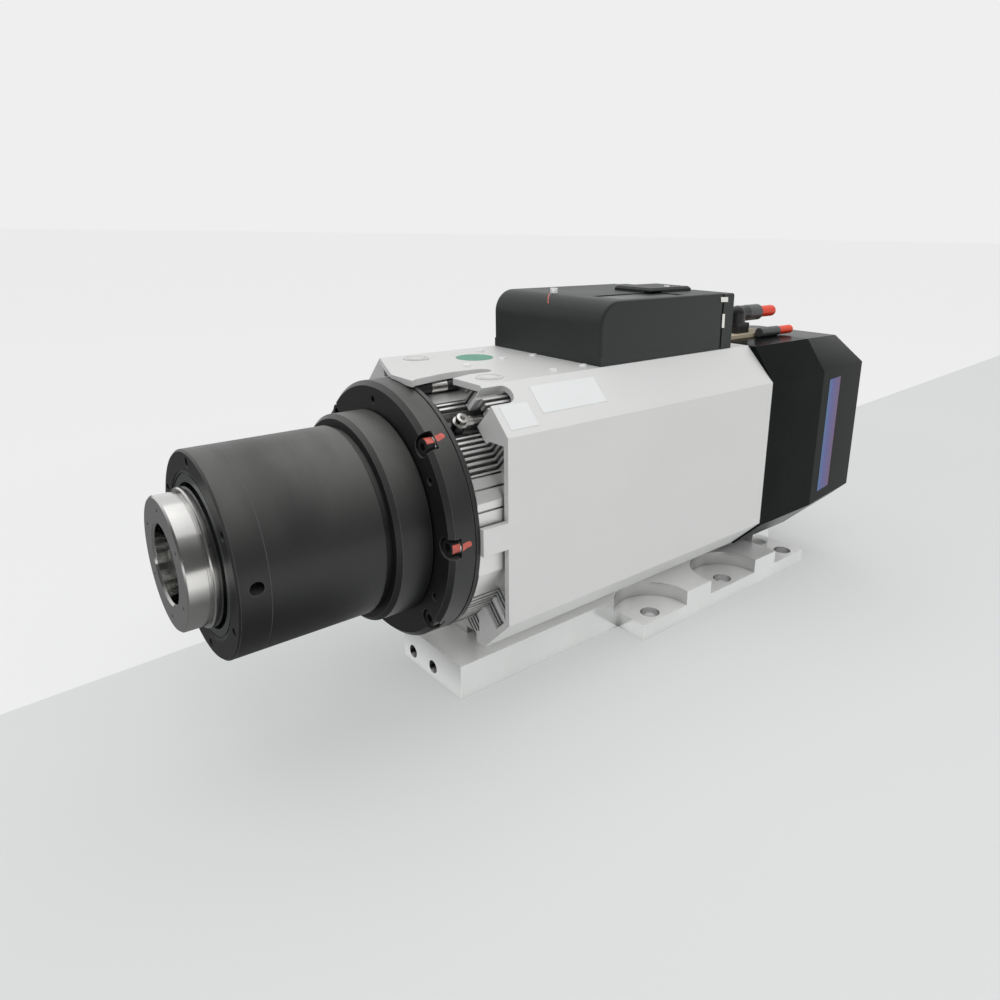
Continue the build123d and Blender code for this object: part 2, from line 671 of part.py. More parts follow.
def rear_points(inset=0.0):
    half = REAR_HALF - inset
    top = REAR_TOP - inset
    right = [(half - REAR_TOP_CHAMFER_Y, top), (half, top - REAR_TOP_CHAMFER_Z),
             (half, -top + REAR_LOW_CHAMFER), (half - REAR_LOW_CHAMFER, -top)]
    return right + [(-y, z) for y, z in reversed(right)]


def cover_solid(inset):
    start = BODY_END - (1 if inset else 0)
    first = prism(start, COVER_FOLD_X, fold_points(inset))
    second = loft([outline(COVER_FOLD_X, fold_points(inset)),
                   outline(COVER_REAR_X - inset, rear_points(inset))], ruled=True)
    return first + second


def rear_cover():
    body = cover_solid(0.0) - cover_solid(COVER_WALL)
    body -= rod(COVER_REAR_X - 10, COVER_REAR_X + 1, GUARD_R - 4)
    x, y, z = ELBOW_XYZ
    body -= pin(BODY_HALF - 6, BODY_HALF + 1, ELBOW_STEM_R + 0.1, x, y)
    return body


def fan_guard():
    body = tube(COVER_REAR_X - COVER_WALL - 2.0, COVER_REAR_X - COVER_WALL, GUARD_R, GUARD_R - 4)
    for r in (16, 26, 36, 46):
        body += tube(COVER_REAR_X - COVER_WALL - 2.0, COVER_REAR_X - COVER_WALL, r, r - 1.6)
    for a in range(0, 360, 60):
        body += Rot(a, 0, 0) * slab(COVER_REAR_X - COVER_WALL - 2.0, COVER_REAR_X - COVER_WALL, -1.2, 1.2, 0, GUARD_R - 2)
    return body


def unclamp_cylinder():
    points = [
        (CYLINDER_X[0], PISTON_ROD_R + RUN), (CYLINDER_X[0], CYLINDER_R), (CYLINDER_X[1], CYLINDER_R),
        (CYLINDER_X[1], 0), (CYLINDER_X[1] - 6, 0), (CYLINDER_X[1] - 6, PISTON_R + RUN),
        (CYLINDER_X[0] + 6, PISTON_R + RUN), (CYLINDER_X[0] + 6, PISTON_ROD_R + RUN),
    ]
    return spun(points)


def unclamp_piston():
    return rod(350.5, PISTON_X[1], PISTON_ROD_R) + rod(PISTON_X[0], PISTON_X[1], PISTON_R)


def fan_motor():
    body = rod(CYLINDER_X[1], FAN_MOTOR_X[0], FAN_MOTOR_R + 6) + rod(FAN_MOTOR_X[0], FAN_MOTOR_X[1], FAN_MOTOR_R)
    return body - rod(FAN_MOTOR_X[1] - 12, FAN_MOTOR_X[1] + 1, FAN_SHAFT_R + RUN)


def fan_impeller():
    body = rod(FAN_X[0], FAN_X[1], FAN_HUB_R) - rod(FAN_X[0] - 1, FAN_X[0] + 16, FAN_HUB_R - 2)
    body += rod(FAN_MOTOR_X[1] - 10, FAN_X[1], FAN_SHAFT_R)
    blade = Pos((FAN_X[0] + FAN_X[1]) / 2, 0, (FAN_HUB_R + FAN_TIP_R) / 2 - 0.5) * Rot(0, 0, 35) * Box(
        BLADE_L, 1.8, FAN_TIP_R - FAN_HUB_R + 1)
    for one in around(blade, [i * 360 / FAN_BLADES for i in range(FAN_BLADES)]):
        body += one
    return body


# Connector box
def box_base():
    return slab(BOX_X[0], CAP_X, -BOX_HALF, BOX_HALF, BODY_HALF, BOX_BASE_TOP) - slab(
        BOX_X[0] + 8, CAP_X - 8, -BOX_HALF + 8, BOX_HALF - 8, BODY_HALF + 2, BOX_BASE_TOP + 1)


def box_lid():
    body = slab(BOX_X[0], CAP_X, -BOX_HALF, BOX_HALF, BOX_BASE_TOP, BOX_TOP)
    front = body.edges().filter_by(Axis.Y).group_by(Axis.X)[0].sort_by(Axis.Z)[-1]
    body = fillet(front, BOX_FRONT_FILLET)
    sides = body.edges().filter_by(Axis.X).group_by(Axis.Z)[-1]
    body = fillet(sides, BOX_EDGE_FILLET)
    body -= slab(BOX_X[0] + BOX_WALL, CAP_X - BOX_WALL, -BOX_HALF + BOX_WALL, BOX_HALF - BOX_WALL,
                 BOX_BASE_TOP - 1, BOX_TOP - 16)
    pad = slab(*BOX_PAD_X, *BOX_PAD_Y, BOX_TOP - 1, BOX_TOP + BOX_PAD_T)
    body += chamfer(pad.edges().group_by(Axis.Z)[-1], BOX_PAD_BEVEL)
    body -= slab(*BOX_LABEL_X, *BOX_LABEL_Y, BOX_TOP - 0.6, BOX_TOP + 1)
    x, y = BOX_SCREW_XY
    body -= pin(BOX_TOP - BOX_SCREW_SINK, BOX_TOP + 1, BOX_SCREW_HEAD_R + 0.2, x, y)
    body -= pin(BOX_TOP - 20, BOX_TOP, 1.7, x, y)
    for x in PAD_SCREW_X:
        body -= pin(BOX_TOP - 4, BOX_TOP + BOX_PAD_T + 1, 1.0, x, PAD_SCREW_Y)
    return body


def box_end_cap():
    body = slab(CAP_X + CAP_GAP, BOX_X[1], -BOX_HALF, BOX_HALF, BODY_HALF, BOX_TOP - 0.4)
    sides = body.edges().filter_by(Axis.X).group_by(Axis.Z)[-1]
    body = fillet(sides, BOX_EDGE_FILLET)
    link = slab(CAP_X, CAP_X + CAP_GAP, -BOX_HALF + 1, BOX_HALF - 1, BODY_HALF, BOX_TOP - 1.6)
    return body + link


def box_screws():
    top = BOX_TOP + BOX_SCREW_PROUD
    return screw_down(*BOX_SCREW_XY, top, BOX_SCREW_HEAD_R, BOX_SCREW_PROUD + BOX_SCREW_SINK, 1.7, 6.0, 1.3)


def pad_screws():
    top = BOX_TOP + BOX_PAD_T + 0.8
    return Compound(children=[screw_down(x, PAD_SCREW_Y, top, 1.9, 0.8, 1.0, 6.0, 0.9) for x in PAD_SCREW_X])


# Fittings on the rear cover
def air_elbow():
    x, y, z = ELBOW_XYZ
    body = pin(BODY_HALF, z, ELBOW_R, x, y) + Pos(x, y, z) * Sphere(ELBOW_R) + rod(x, x + 9, ELBOW_R - 0.3, y, z)
    body += Pos(x, y, BODY_HALF + 5) * Box(15, 12, 10)
    return body + pin(BODY_HALF - 5, BODY_HALF, ELBOW_STEM_R, x, y)


def air_barrels():
    x, y, z = ELBOW_XYZ
    first = rod(x + 9, x + 9 + FITTING_L, FITTING_R, y, z)
    first = fillet(first.edges().filter_by(GeomType.CIRCLE), 0.8)
    x, y = LOW_FITTING_XY
    second = rod(x, x + LOW_FITTING_L, LOW_FITTING_R, y, BODY_HALF + LOW_FITTING_R)
    second = fillet(second.edges().filter_by(GeomType.CIRCLE), 0.8)
    return Compound(children=[first, second])


def stopper(x, r, length, y, z):
    """A round-ended plug along X."""
    return rod(x, x + length - r, r, y, z) + Pos(x + length - r, y, z) * Sphere(r)


def red_stoppers():
    x, y, z = ELBOW_XYZ
    first = stopper(x + 9 + FITTING_L, STOPPER_R, STOPPER_L, y, z)
    x, y = LOW_FITTING_XY
    second = stopper(x + LOW_FITTING_L, LOW_STOPPER_R, LOW_STOPPER_L, y, BODY_HALF + LOW_FITTING_R)
    x, y = SMALL_STOPPER_XY
    third = Pos(x, y, BODY_HALF + GASKET_T) * Rot(0, -90, 0) * stopper(0, 3.6, 8, 0, 0)
    return Compound(children=[first, second, third])


def gasket_strip():
    x, y, z = ELBOW_XYZ
    body = slab(*GASKET_X, -GASKET_HALF, GASKET_HALF, BODY_HALF, BODY_HALF + GASKET_T)
    return body - slab(x - 7.5, x + 7.5, y - 6, y + 6, BODY_HALF - 1, BODY_HALF + 5)


def sensor_body():
    body = rod(*SENSOR_X, SENSOR_R, *SENSOR_YZ)
    return body - tube(*BAND_X, SENSOR_R + 1, SENSOR_R - 0.8, *SENSOR_YZ)


def sensor_band():
    return tube(*BAND_X, SENSOR_R, SENSOR_R - 0.8, *SENSOR_YZ)


def air_inlet():
    """Chrome elbow for the barrier air, its mouth turned outwards."""
    y, z = INLET_YZ
    x = INLET_X[0]
    height = hypot(y, z)
    mouth = pin(height - 5.0, height + 1.0, 3.9, x, 0) + pin(height + 1.0, height + 4.6, 3.0, x, 0)
    body = Rot(degrees(atan2(-y, z)), 0, 0) * (mouth - pin(height + 2.0, height + 6, 1.3, x, 0))
    body += rod(x, CORNER_SLOT_END + 1, INLET_PIPE_R, y, z)
    return body + rod(x + 1.0, x + 6.5, 3.1, y, z)


def inlet_collet():
    y, z = INLET_YZ
    return tube(INLET_X[1], INLET_X[1] + COLLET_L, COLLET_R, INLET_PIPE_R + 0.05, y, z)


# Stickers
def round_sticker():
    x, y = ROUND_STICKER_XY
    return pin(BODY_HALF, BODY_HALF + STICKER_T, ROUND_STICKER_R, x, y)


def chamfer_labels():
    """Blank labels on the near upper chamfer. Each is x0, x1 and its span down the chamfer."""
    reach = (2 * BODY_HALF - BODY_CHAMFER) * 0.7071068
    return Compound(children=[
        Rot(45, 0, 0) * slab(x0, x1, -s1, -s0, reach, reach + STICKER_T)
        for x0, x1, s0, s1 in CHAMFER_LABELS])


def cover_badges():
    """Plain bands on the tapering sides of the rear cover."""
    length = COVER_REAR_X - COVER_FOLD_X
    lean = degrees(atan2(BODY_HALF - REAR_HALF, length))
    flat = slab(BADGE_X[0] - COVER_FOLD_X, BADGE_X[1] - COVER_FOLD_X, -STICKER_T, 0, *BADGE_Z)
    near = Pos(COVER_FOLD_X, -BODY_HALF, 0) * Rot(0, 0, lean) * flat
    return Compound(children=[near, near.mirror(Plane.XZ)])


PIECES = {
    "spindle_shaft": spindle_shaft,
    "clamp_gripper": gripper,
    "drawbar": drawbar,
    "disc_springs": disc_springs,
    "rotor_core": rotor_core,
    "front_bearing_inner_rings": lambda: ring_set(FRONT_BEARINGS_X, BEARING_W, BEARING_INNER_R, FRONT_JOURNAL_R),
    "front_bearing_outer_rings": lambda: ring_set(FRONT_BEARINGS_X, BEARING_W, BEARING_OUTER_R, BEARING_RACE_R),
    "front_bearing_balls": lambda: ball_set(FRONT_BEARINGS_X, BEARING_W,
                                            (BEARING_RACE_R + BEARING_INNER_R) / 2, BALL_R, BALL_COUNT),
    "rear_bearing_inner_ring": lambda: tube(REAR_BEARING_X, REAR_BEARING_X + REAR_BEARING_W,
                                            REAR_INNER_R, REAR_JOURNAL_R),
    "rear_bearing_outer_ring": lambda: tube(REAR_BEARING_X, REAR_BEARING_X + REAR_BEARING_W,
                                            REAR_OUTER_R, REAR_RACE_R),
    "rear_bearing_balls": lambda: ball_set((REAR_BEARING_X,), REAR_BEARING_W,
                                           (REAR_RACE_R + REAR_INNER_R) / 2, REAR_BALL_R, REAR_BALL_COUNT),
    "front_cover": front_cover,
    "front_cover_screws": cover_screws,
    "seal_ring": seal_ring,
    "front_housing": front_housing,
    "spacer_ring": spacer_ring,
    "rim_screws": rim_screws,
    "stator_jacket": stator_jacket,
    "stator_core": stator_core,
    "stator_windings": windings,
    "rear_bearing_carrier": rear_shield,
    "body_shell": body_shell,
    "top_plugs": top_plugs,
    "top_screws": top_screws,
    "mounting_plate": mounting_plate,
    "plate_screws": plate_screws,
    "rear_foot_block": rear_foot,
    "front_pedestal": front_pedestal,
    "rear_cover": rear_cover,
    "fan_guard": fan_guard,
    "unclamp_cylinder": unclamp_cylinder,
    "unclamp_piston": unclamp_piston,
    "fan_motor": fan_motor,
    "fan_impeller": fan_impeller,
    "connector_box_base": box_base,
    "connector_box_lid": box_lid,
    "connector_box_end_cap": box_end_cap,
    "connector_box_screw": box_screws,
    "connector_pad_screws": pad_screws,
    "air_elbow": air_elbow,
    "air_barrels": air_barrels,
    "red_stoppers": red_stoppers,
    "gasket_strip": gasket_strip,
    "sensor_body": sensor_body,
    "sensor_band": sensor_band,
    "air_inlet": air_inlet,
    "inlet_collet": inlet_collet,
    "round_sticker": round_sticker,
    "chamfer_labels": chamfer_labels,
    "cover_badges": cover_badges,
}

os.makedirs("parts", exist_ok=True)
for name, make in PIECES.items():
    save(name, make())
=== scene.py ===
import math

import bpy
from mathutils import Matrix, Vector


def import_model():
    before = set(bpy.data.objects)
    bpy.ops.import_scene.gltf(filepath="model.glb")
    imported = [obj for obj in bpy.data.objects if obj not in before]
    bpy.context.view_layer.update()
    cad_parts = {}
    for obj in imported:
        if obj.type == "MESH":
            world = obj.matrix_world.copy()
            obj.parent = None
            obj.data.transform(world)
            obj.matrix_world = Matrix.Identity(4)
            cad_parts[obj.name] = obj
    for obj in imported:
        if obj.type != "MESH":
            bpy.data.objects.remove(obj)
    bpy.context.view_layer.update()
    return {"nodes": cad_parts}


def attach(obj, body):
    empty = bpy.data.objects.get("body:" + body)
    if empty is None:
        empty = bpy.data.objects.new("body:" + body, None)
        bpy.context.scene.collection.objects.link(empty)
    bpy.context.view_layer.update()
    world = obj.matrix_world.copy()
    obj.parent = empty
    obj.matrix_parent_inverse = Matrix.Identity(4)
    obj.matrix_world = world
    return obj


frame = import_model()
NODES = frame["nodes"]

MM = 0.001
NOSE_X = -298.0
AXIS_H = 116.0


def at(x, y, z):
    """Takes millimetres, X from the nose face and Z from the axis, to the part frame in metres."""
    return Vector(((x + NOSE_X) * MM, y * MM, (z + AXIS_H) * MM))


# Node helpers
class Nodes:
    """Short ways to add nodes to a tree. A value is a socket to link, a number or a colour."""

    def __init__(self, tree):
        self.tree = tree

    def node(self, kind, **values):
        made = self.tree.nodes.new(kind)
        for key, value in values.items():
            setattr(made, key, value)
        return made

    def link(self, a, b):
        self.tree.links.new(a, b)

    def put(self, value, socket):
        if isinstance(value, bpy.types.NodeSocket):
            self.link(value, socket)
        elif isinstance(value, (int, float)):
            socket.default_value = value
        else:
            socket.default_value = (*value, 1)

    def maths(self, kind, a, b):
        made = self.node("ShaderNodeMath", operation=kind)
        self.put(a, made.inputs[0])
        self.put(b, made.inputs[1])
        return made.outputs[0]

    def blend(self, factor, a, b):
        """Goes from a to b, two numbers or two colours, by a factor."""
        kind = "FLOAT" if isinstance(b, (int, float)) else "RGBA"
        made = self.node("ShaderNodeMix", data_type=kind)
        self.put(factor, made.inputs["Factor"])
        self.put(a, made.inputs["A"])
        self.put(b, made.inputs["B"])
        return made.outputs["Result"]

    def spread(self, value, low, high, start=0.3, end=0.7):
        """Maps the stretch start..end of a value to low..high, and holds those ends outside it."""
        span = self.node("ShaderNodeMapRange")
        span.inputs["From Min"].default_value = start
        span.inputs["From Max"].default_value = end
        span.inputs["To Min"].default_value = low
        span.inputs["To Max"].default_value = high
        self.link(value, span.inputs["Value"])
        return span.outputs["Result"]

    def dot(self, a, b):
        """Dot product of a socket with a socket or a fixed direction."""
        made = self.node("ShaderNodeVectorMath", operation="DOT_PRODUCT")
        self.link(a, made.inputs[0])
        if isinstance(b, bpy.types.NodeSocket):
            self.link(b, made.inputs[1])
        else:
            made.inputs[1].default_value = b
        return made.outputs["Value"]

    def length(self, vector):
        made = self.node("ShaderNodeVectorMath", operation="LENGTH")
        self.link(vector, made.inputs[0])
        return made.outputs["Value"]


class Look(Nodes):
    """A principled material with procedural detail."""

    def __init__(self, name, color, rough, metal=0.0, **sockets):
        self.name = name
        self.mat = bpy.data.materials.new(name)
        self.mat.use_nodes = True
        super().__init__(self.mat.node_tree)
        self.shader = self.tree.nodes["Principled BSDF"]
        self.shader.inputs["Base Color"].default_value = (*color, 1)
        self.shader.inputs["Roughness"].default_value = rough
        self.shader.inputs["Metallic"].default_value = metal
        for key, value in sockets.items():
            self.shader.inputs[key].default_value = value
        self.normal = None

    def place(self, scale=(1, 1, 1)):
        """Object coordinates stretched by scale per metre."""
        coord = self.node("ShaderNodeTexCoord")
        stretch = self.node("ShaderNodeMapping")
        stretch.inputs["Scale"].default_value = scale
        self.link(coord.outputs["Object"], stretch.inputs["Vector"])
        return stretch.outputs["Vector"]

    def split(self):
        """Object coordinates as separate X, Y and Z."""
        coord = self.node("ShaderNodeTexCoord")
        parts = self.node("ShaderNodeSeparateXYZ")
        self.link(coord.outputs["Object"], parts.inputs[0])
        return parts.outputs

    def radius(self):
        """Distance from the spindle axis."""
        parts = self.split()
        flat = self.node("ShaderNodeCombineXYZ")
        self.link(parts["Y"], flat.inputs["Y"])
        self.link(self.maths("SUBTRACT", parts["Z"], AXIS_H * MM), flat.inputs["Z"])
        return self.length(flat.outputs[0])

    def turned(self, along, across):
        """Coordinates that follow lathe marks about the spindle axis."""
        joined = self.node("ShaderNodeCombineXYZ")
        self.link(self.maths("MULTIPLY", self.split()["X"], along), joined.inputs["X"])
        self.link(self.maths("MULTIPLY", self.radius(), across), joined.inputs["Y"])
        return joined.outputs[0]

    def noise(self, vector, detail=3.0, roughness=0.55):
        tex = self.node("ShaderNodeTexNoise")
        tex.inputs["Scale"].default_value = 1.0
        tex.inputs["Detail"].default_value = detail
        tex.inputs["Roughness"].default_value = roughness
        self.link(vector, tex.inputs["Vector"])
        return tex.outputs["Fac"]

    def upward(self, start, end):
        """One where the surface faces up, zero on walls."""
        flat = self.node("ShaderNodeNewGeometry")
        parts = self.node("ShaderNodeSeparateXYZ")
        self.link(flat.outputs["Normal"], parts.inputs[0])
        return self.spread(parts.outputs["Z"], 0, 1, start, end)

    def tone(self, value, dark, light):
        """Base colour between two tones by a pattern."""
        self.link(self.blend(self.spread(value, 0, 1), dark, light), self.shader.inputs["Base Color"])

    def over(self, mask, socket, value):
        """Replaces what drives a shader socket by a colour or number where the mask is one."""
        target = self.shader.inputs[socket]
        self.link(self.blend(mask, target.links[0].from_socket, value), target)

    def paint_edge_highlight(self, color):
        """Paints a highlight in another colour on the softened edges."""
        flat = self.node("ShaderNodeNewGeometry")
        straight = self.dot(flat.outputs["Normal"], self.softened)
        self.over(self.spread(straight, 1, 0, 0.9, 0.99), "Base Color", color)

    def corners(self, reach, dark):
        """Paints shade into the base colour of holes and inner corners from ambient occlusion, reach in
        millimetres.
        """
        near = self.node("ShaderNodeAmbientOcclusion", samples=6)
        near.inputs["Distance"].default_value = reach * MM
        self.over(self.spread(near.outputs["AO"], 1, 0, 0.1, 0.5), "Base Color", dark)

    def rough(self, value, low, high):
        self.link(self.spread(value, low, high), self.shader.inputs["Roughness"])

    def bump(self, value, depth):
        """Surface relief, depth in millimetres."""
        made = self.node("ShaderNodeBump")
        made.inputs["Strength"].default_value = 1.0
        made.inputs["Distance"].default_value = depth * MM
        self.link(value, made.inputs["Height"])
        if self.normal is not None:
            self.link(self.normal, made.inputs["Normal"])
        self.normal = made.outputs["Normal"]
        self.link(self.normal, self.shader.inputs["Normal"])

    def edge(self, radius):
        """Softened edges, radius in millimetres."""
        made = self.node("ShaderNodeBevel", samples=4)
        made.inputs["Radius"].default_value = radius * MM
        self.normal = self.softened = made.outputs["Normal"]
        self.link(self.normal, self.shader.inputs["Normal"])


def shade(color, k):
    return tuple(min(1.0, c * k) for c in color)


# Materials
GRAINS = {
    "turned": lambda look: look.turned(2600, 2600),
    "drawn": lambda look: look.place((6, 900, 900)),
    "milled": lambda look: look.place((60, 1500, 1500)),
    "cast": lambda look: look.place((700, 700, 700)),
    "fine": lambda look: look.place((1600, 1600, 1600)),
}


def finish(name, color, rough, metal=0.0, grain="fine", depth=0.004, shades=(0.9, 1.1),
           gloss=(0.85, 1.2), cloud=18.0, edge=0.3, **sockets):
    """A material with a fine grain, broad tone patches, uneven gloss and softened edges."""
    look = Look(name, color, rough, metal, **sockets)
    look.edge(edge)
    fine = look.noise(GRAINS[grain](look))
    broad = look.noise(look.place((cloud, cloud, cloud)), 5.0)
    look.tone(broad, shade(color, shades[0]), shade(color, shades[1]))
    both = look.maths("ADD", look.maths("MULTIPLY", fine, 0.5), look.maths("MULTIPLY", broad, 0.5))
    look.rough(both, rough * gloss[0], rough * gloss[1])
    look.bump(fine, depth)
    return look


def oiled_black(name, dark, light, painted_edge_highlight):
    """Blackened steel with a painted sheen, paler in uneven wiped patches where it faces up, and a painted
    highlight on its edges.
    """
    look = finish(name, dark, 0.42, 0.0, "turned", 0.003, shades=(0.8, 1.3), gloss=(0.8, 1.2),
                  cloud=14.0, edge=0.4, **{"Specular IOR Level": 0.6})
    # Painted sheen: the light colour goes on faces that point up, in uneven wiped patches.
    sheen_wipes = look.spread(look.noise(look.place((26, 9, 9)), 5.0, 0.6), 0.35, 1, 0.35, 0.65)
    look.over(look.maths("MULTIPLY", look.upward(0.2, 1.0), sheen_wipes), "Base Color", light)
    # Painted highlight on the softened edges.
    look.paint_edge_highlight(painted_edge_highlight)
    return look


def milled_plate(name, side, top, edges, holes):
    """Milled aluminium with painted light: paler and duller where it faces up, a painted highlight on its
    edges, and painted shade in holes and corners.
    """
    metal = 0.95
    look = finish(name, side, 0.17, metal, "milled", 0.00015, shades=(0.9, 1.04), gloss=(0.85, 1.15),
                  cloud=12.0)
    # Painted light: faces that point up take the paler top colour.
    up = look.upward(0.6, 0.8)
    look.over(up, "Base Color", top)
    look.link(look.spread(up, metal, 0.1, 0, 1), look.shader.inputs["Metallic"])
    # Painted highlight on the edges.
    look.paint_edge_highlight(edges)
    # Painted shade in holes and inner corners.
    look.corners(13, holes)
    return look


def ground_nose(name, side, face, seat):
    """Bright turned steel with painted shade on its end face, a darker colour there, and a polished tool
    seat.
    """
    look = finish(name, side, 0.18, 1.0, "turned", shades=(0.86, 1.08), cloud=40.0)
    start = at(0, 0, 0).x
    painted_face_shade = look.spread(look.split()["X"], 1, 0, start + 0.1 * MM, start + 0.5 * MM)
    in_seat = look.spread(look.radius(), 1, 0, 20.1 * MM, 20.3 * MM)
    # Painted shade: the end face takes a darker colour than the side of the same steel.
    look.over(painted_face_shade, "Base Color", face)
    look.over(in_seat, "Base Color", seat)
    look.over(in_seat, "Roughness", 0.09)
    return look


def badge_paint(name, start_x, length, first, middle, last):
    """A plain band of three colours along X, in millimetres from the nose face."""
    look = Look(name, middle, 0.35)
    ramp = look.node("ShaderNodeValToRGB")
    marks = ramp.color_ramp.elements
    marks[0].color = (*first, 1)
    marks[1].color = (*last, 1)
    marks.new(0.3).color = (*middle, 1)
    start = at(start_x, 0, 0).x
    along = look.spread(look.split()["X"], 0, 1, start, start + length * MM)
    look.link(along, ramp.inputs["Fac"])
    look.link(ramp.outputs["Color"], look.shader.inputs["Base Color"])
    grain = look.noise(look.place((900, 900, 900)), 2.0)
    look.rough(grain, 0.3, 0.42)
    look.bump(grain, 0.004)
    return look


LOOKS = {look.name: look for look in (
    # The nose's face colour is painted shade.
    ground_nose("steel_nose", side=(0.74, 0.735, 0.72), face=(0.62, 0.625, 0.62), seat=(0.6, 0.6, 0.59)),
    finish("steel_hard", (0.42, 0.41, 0.39), 0.28, 1.0, "turned", 0.006, shades=(0.6, 1.3), cloud=60.0),
    finish("steel_inner", (0.45, 0.45, 0.45), 0.35, 1.0, "turned", 0.005),
    finish("seal", (0.11, 0.12, 0.12), 0.34, 0.7, "turned"),
    oiled_black("housing_black", dark=(0.0065, 0.0067, 0.0068), light=(0.085, 0.084, 0.08),
                painted_edge_highlight=(0.12, 0.12, 0.118)),
    finish("screw_black", (0.02, 0.02, 0.021), 0.34, 0.4, depth=0.01, shades=(0.7, 1.4)),
    finish("jacket", (0.72, 0.72, 0.71), 0.34, 0.85, "drawn", 0.006, shades=(0.92, 1.05)),
    finish("shell", (0.675, 0.675, 0.665), 0.46, 0.3, "drawn", 0.003, shades=(0.97, 1.03),
           gloss=(0.92, 1.1), cloud=9.0),
    # The plate's top colour is painted light, its edge colour a painted highlight and its hole colour
    # painted shade.
    milled_plate("plate", side=(0.73, 0.735, 0.73), top=(1.0, 1.0, 0.985), edges=(1, 1, 0.99),
                 holes=(0.09, 0.088, 0.085)),
    finish("screw_zinc", (0.93, 0.93, 0.92), 0.3, 0.25),
    finish("copper", (0.45, 0.16, 0.05), 0.35, 0.9, "cast", 0.05),
    finish("cover_black", (0.0065, 0.0075, 0.0075), 0.24, depth=0.003, shades=(0.8, 1.3), gloss=(0.8, 1.3),
           **{"Specular IOR Level": 0.025}),
    finish("plastic_black", (0.016, 0.017, 0.017), 0.34, depth=0.01, shades=(0.8, 1.25)),
    finish("box_black", (0.0145, 0.0178, 0.0168), 0.44, 0.0, "cast", 0.018, shades=(0.85, 1.2),
           **{"Specular IOR Level": 0.42}),
    finish("fitting_grey", (0.06, 0.065, 0.065), 0.35, depth=0.01, shades=(0.8, 1.25)),
    finish("red", (0.72, 0.045, 0.008), 0.32, depth=0.01, shades=(0.85, 1.12)),
    finish("paint_red", (0.50, 0.10, 0.075), 0.4, 0.0, "cast", 0.03, shades=(0.75, 1.25), cloud=300.0),
    finish("beige", (0.42, 0.36, 0.26), 0.8, 0.0, "cast", 0.06, shades=(0.8, 1.2)),
    finish("nickel", (0.72, 0.71, 0.69), 0.14, 1.0, depth=0.003),
    finish("sticker_green", (0.05, 0.27, 0.18), 0.4, 0.0, "cast", 0.01, shades=(0.7, 1.3), cloud=160.0),
    finish("sticker_white", (0.69, 0.70, 0.70), 0.45, 0.0, "cast", 0.008, shades=(0.96, 1.03)),
    finish("sticker_dark", (0.03, 0.033, 0.033), 0.3, 0.1, "cast", 0.008, shades=(0.85, 1.15)),
    badge_paint("badge", 444, 21, first=(0.02, 0.10, 0.26), middle=(0.02, 0.04, 0.26),
                last=(0.09, 0.02, 0.12)),
)}
NODE_LOOKS = {
    "steel_nose": ["spindle_shaft"],
    "steel_hard": ["clamp_gripper", "drawbar", "disc_springs"],
    "steel_inner": ["rotor_core", "front_bearing_inner_rings", "front_bearing_outer_rings",
                    "rear_bearing_inner_ring", "rear_bearing_outer_ring", "stator_core"],
    "nickel": ["front_bearing_balls", "rear_bearing_balls", "sensor_band", "air_inlet"],
    "housing_black": ["front_cover", "front_housing", "spacer_ring"],
    "screw_black": ["front_cover_screws", "rim_screws", "plate_screws", "inlet_collet"],
    "seal": ["seal_ring"],
    "jacket": ["stator_jacket", "rear_bearing_carrier", "unclamp_cylinder", "unclamp_piston"],
    "copper": ["stator_windings"],
    "shell": ["body_shell", "top_plugs"],
    "screw_zinc": ["top_screws", "connector_box_screw", "connector_pad_screws"],
    "plate": ["mounting_plate", "rear_foot_block", "front_pedestal"],
    "cover_black": ["rear_cover"],
    "plastic_black": ["fan_guard", "fan_motor", "fan_impeller", "air_elbow", "sensor_body"],
    "box_black": ["connector_box_base", "connector_box_lid", "connector_box_end_cap"],
    "fitting_grey": ["air_barrels"],
    "red": ["red_stoppers"],
    "beige": ["gasket_strip"],
    "sticker_green": ["round_sticker"],
    "sticker_white": ["chamfer_labels"],
    "badge": ["cover_badges"],
}
for look, names in NODE_LOOKS.items():
    for name in names:
        mesh = NODES[name].data
        mesh.materials.clear()
        mesh.materials.append(LOOKS[look].mat)


# Small painted and stuck-on pieces
RIM_SCREW_CIRCLE = 65.6
TORQUE_MARKS = ((45, -18), (90, 2))
HEAD_MARK_X = 108.9
HEAD_MARK_R = 4.26
HEAD_MARK_ROWS = 7
HEAD_MARK_STEP = 0.7
HEAD_MARK_TURN = 0.14
RIM_MARK_X = 113.9
RIM_MARK_L = 5.4
RIM_MARK_R = 71.07
RIM_MARK_ROWS = 11
RIM_MARK_HALF = 0.026
RIM_MARK_SHIFT = -0.012
RIM_MARK_WAVE = 0.006
RIM_MARK_TIP = 0.75
RIM_MARK_TIP_ROUND = 15.5
WASHER_ANGLES = (-90, -45, 45, 90, 135, 225)
WASHER_BORE_R = 4.24
WASHER_R = 4.85
WASHER_FACE_X = 113.0
WASHER_BACK_X = 113.44
WASHER_STEPS = 32
LID_CURVE_X = 238
LID_CURVE_Z = 96
LID_CURVE_R = 14.06
LID_MARK_Y = 8.8
LID_MARK_HALF = 0.5
LID_MARK_ROWS = 14
LID_MARK_START = 8
LID_MARK_STEP = 3.2
LID_MARK_SLANT = 0.21
LID_LABEL_CORNER = (246.8, -42.2, 109.48)
LID_LABEL_L = 55.4
LID_LABEL_W = 22.4
LID_LABEL_CELLS = (12, 8)
CAP_CLIP_Y = (-50.7, -50.15)
CAP_CLIPS = {
    "cap_clip_top": ((331.0, 107.8), (338.6, 107.5), (338.9, 104.3), (331.6, 104.6)),
    "cap_clip_side": ((334.0, 96.9), (336.6, 96.7), (336.9, 87.6), (334.2, 87.8)),
}


